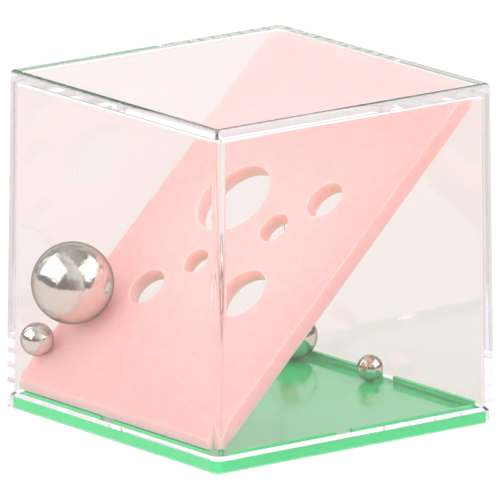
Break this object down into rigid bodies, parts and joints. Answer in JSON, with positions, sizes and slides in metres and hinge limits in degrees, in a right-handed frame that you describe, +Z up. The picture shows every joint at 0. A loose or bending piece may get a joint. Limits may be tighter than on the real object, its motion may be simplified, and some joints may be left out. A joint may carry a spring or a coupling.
{
  "type": "ball puzzle cube",
  "caption": "Clear cube puzzle with a green base, a slanted pink plate with round holes, and steel balls that roll on and under the plate.",
  "frame": {"origin": "on the ground at the middle of the cube's square underside", "axes": "+Z up; -X towards the side where the slanted plate is low, +X towards the side where it is high"},
  "size_m": [0.04, 0.04, 0.0394],
  "materials": {
    "clear_plastic": "clear moulded polystyrene, gloss",
    "green_plastic": "glossy moulded polystyrene",
    "pink_plastic": "satin moulded polystyrene",
    "ball_steel": "mirror-polished bare steel"
  },
  "bodies": {
    "case": {"clear_cover": "clear_plastic", "base_plate": "green_plastic", "hole_plate": "pink_plastic"},
    "large_ball": {"ball_large": "ball_steel"},
    "small_ball": {"ball_small": "ball_steel"},
    "medium_ball": {"ball_medium": "ball_steel"},
    "tiny_ball": {"ball_tiny": "ball_steel"}
  },
  "joints": [
    {"name": "large_ball_roll", "type": "slide", "parent": "case", "child": "large_ball", "axis": [0.7185, -0.0081, 0.6955], "range_m": [0, 0.0262]},
    {"name": "small_ball_roll", "type": "slide", "parent": "case", "child": "small_ball", "axis": [0, -1, 0], "range_m": [0, 0.0338]},
    {"name": "medium_ball_roll", "type": "slide", "parent": "case", "child": "medium_ball", "axis": [-1, 0, 0], "range_m": [0, 0.0273]},
    {"name": "tiny_ball_roll", "type": "slide", "parent": "case", "child": "tiny_ball", "axis": [-1, 0, 0], "range_m": [0, 0.0311]}
  ]
}
